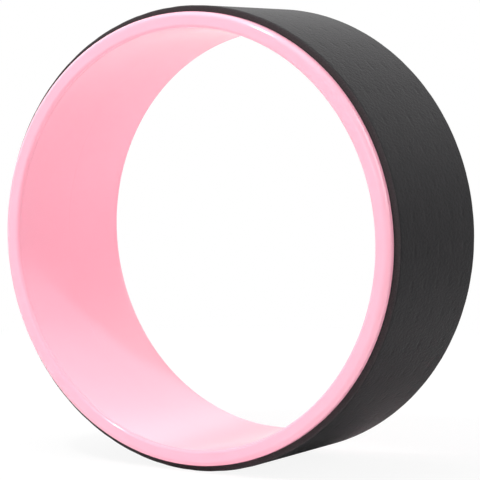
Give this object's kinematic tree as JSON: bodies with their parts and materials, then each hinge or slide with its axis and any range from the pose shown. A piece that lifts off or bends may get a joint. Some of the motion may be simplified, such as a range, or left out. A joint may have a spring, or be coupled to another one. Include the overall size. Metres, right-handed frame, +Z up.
{
  "type": "yoga wheel",
  "caption": "Upright yoga wheel: a hollow plastic hoop with rounded rims and a cushioned foam mat strip round its tread, for back bends and balance.",
  "frame": {"origin": "the wheel's centre, on its axis at mid width", "axes": "+Y along the wheel's axis, away from the pictured front opening; +Z up; the wheel stands on its tread"},
  "size_m": [0.33, 0.13, 0.3299],
  "materials": {
    "hoop_plastic": "glossy pink moulded ABS",
    "adhesive_film": "tissue-backed double-sided acrylic tape",
    "mat_foam": "charcoal closed-cell elastomer foam with a fine embossed grain"
  },
  "bodies": {
    "root": {"hoop_front_half": "hoop_plastic", "hoop_rear_half": "hoop_plastic", "mat_adhesive_film": "adhesive_film", "tread_mat": "mat_foam"}
  },
  "joints": []
}
